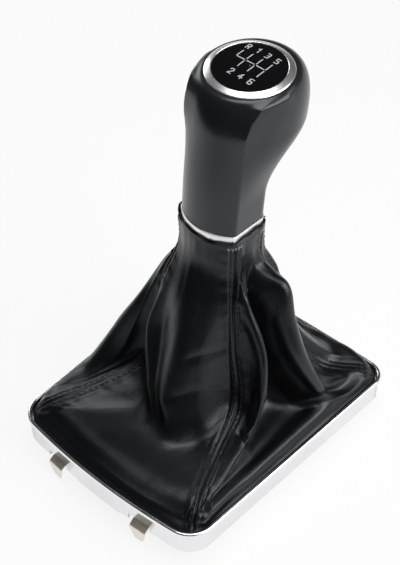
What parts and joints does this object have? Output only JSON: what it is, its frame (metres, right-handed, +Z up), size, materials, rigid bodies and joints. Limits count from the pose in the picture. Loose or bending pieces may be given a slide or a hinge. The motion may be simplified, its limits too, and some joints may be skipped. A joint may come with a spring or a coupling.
{
  "type": "gear shift knob",
  "caption": "Manual gear shift knob with a black grip, plated collar and pattern cap, on a folded leather gaiter held in a plated console frame with spring clips.",
  "frame": {"origin": "on the plane of the spring clips' tips, under the middle of the frame's bounding box", "axes": "+X the car's right, +Y the car's front, +Z up along the knob"},
  "size_m": [0.1296, 0.1562, 0.2022],
  "materials": {
    "plated_trim": "satin plated",
    "spring_steel": "bright plated",
    "hidden_plastic": "moulded, matt",
    "gaiter_leather": "smooth black leather with a soft sheen",
    "grip_skin": "satin soft-touch skin",
    "bright_trim": "bright plated",
    "pattern_face": "glossy black with a pale printed shift pattern",
    "clamp_steel": "zinc plated"
  },
  "bodies": {
    "frame": {"surround_trim": "plated_trim", "retainer_frame": "hidden_plastic", "spring_clip_rear_left": "spring_steel", "spring_clip_rear_right": "spring_steel", "spring_clip_front_left": "spring_steel", "spring_clip_front_right": "spring_steel"},
    "gaiter": {"rear_panel": "gaiter_leather", "right_panel": "gaiter_leather", "front_panel": "gaiter_leather", "left_panel": "gaiter_leather"},
    "knob": {"grip_shell": "grip_skin", "collar_trim": "bright_trim", "top_ring": "bright_trim", "pattern_cap": "pattern_face", "lever_sleeve": "hidden_plastic", "lever_clamp": "clamp_steel", "neck_ring": "hidden_plastic", "neck_tie": "hidden_plastic"}
  },
  "joints": [
    {"name": "select", "type": "hinge", "parent": "frame", "child": "gaiter", "pos_m": [-0.01498, 0.01859, -0.045], "axis": [0, 1, 0], "range_deg": [-8, 8], "deforming": ["rear_panel", "right_panel", "front_panel", "left_panel"]},
    {"name": "shift", "type": "hinge", "parent": "gaiter", "child": "knob", "pos_m": [-0.01498, 0.01859, -0.045], "axis": [1, 0, 0], "range_deg": [-10, 10]}
  ]
}
